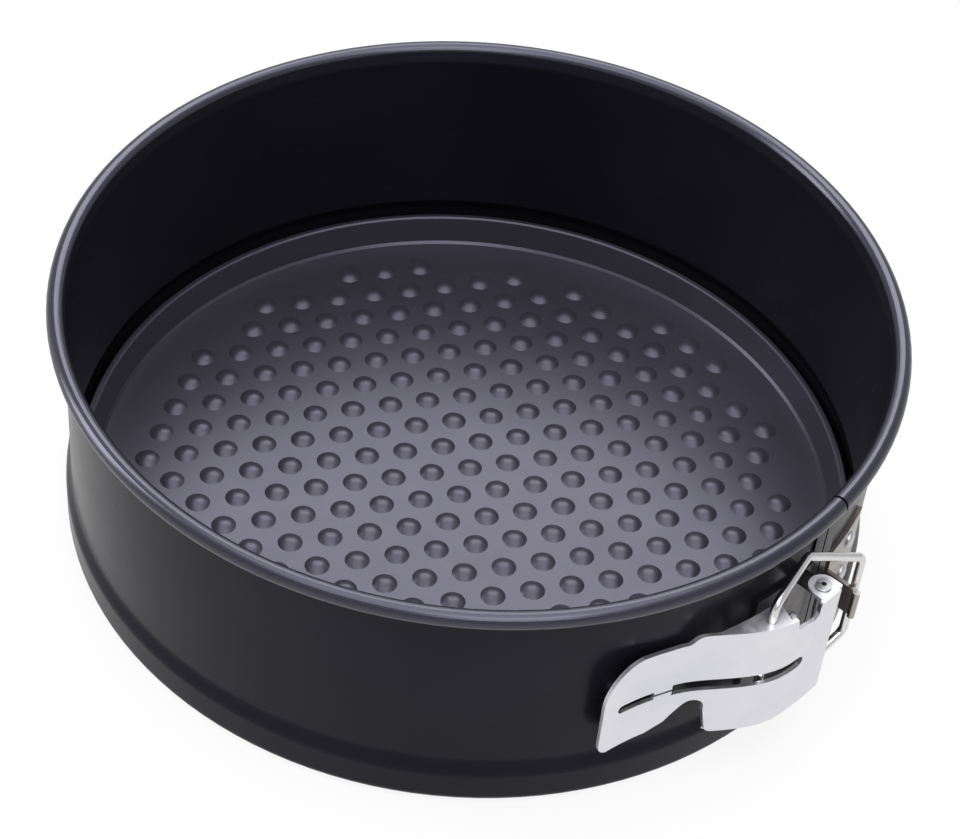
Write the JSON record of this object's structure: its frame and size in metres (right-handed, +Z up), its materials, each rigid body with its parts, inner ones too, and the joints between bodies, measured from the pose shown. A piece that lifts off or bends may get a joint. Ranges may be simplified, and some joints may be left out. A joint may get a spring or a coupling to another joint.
{
  "type": "springform cake pan",
  "caption": "Round springform cake pan: dark non-stick band with rolled rim, side draw latch of bright sheet metal and wire, and a loose dimpled base.",
  "frame": {"origin": "centre of the band's underside, on the surface that the pan stands on", "axes": "+Z up along the pan's axis; the band's seam and its latch are at -Y"},
  "size_m": [0.2504, 0.2584, 0.08],
  "materials": {
    "band_coating": "semi-gloss non-stick coating",
    "base_coating": "semi-gloss non-stick coating",
    "latch_plating": "plated sheet",
    "lever_plating": "satin bright plating",
    "rivet_metal": "satin",
    "bright_wire": "polished"
  },
  "bodies": {
    "band": {"side_band": "band_coating", "hinge_bracket": "latch_plating", "hinge_rivets": "rivet_metal", "catch_bracket": "latch_plating", "catch_rivets": "rivet_metal", "pivot_pin": "rivet_metal"},
    "lever": {"latch_lever": "lever_plating"},
    "bail": {"wire_bail": "bright_wire"},
    "base": {"base_plate": "base_coating"}
  },
  "joints": [
    {"name": "lever_pivot", "type": "hinge", "parent": "band", "child": "lever", "pos_m": [-0.01241, -0.1289, 0.039], "axis": [0, 0, 1], "range_deg": [0, 90]},
    {"name": "bail_pivot", "type": "hinge", "parent": "lever", "child": "bail", "pos_m": [-0.03237, -0.12518, 0.039], "axis": [0, 0, 1], "range_deg": [-95, 0]},
    {"name": "base_lift", "type": "slide", "parent": "band", "child": "base", "axis": [0, 0, 1], "range_m": [0, 0.1]}
  ],
  "couplings": [
    {"joint": "bail_pivot", "follows": "lever_pivot", "ratio": -1}
  ]
}
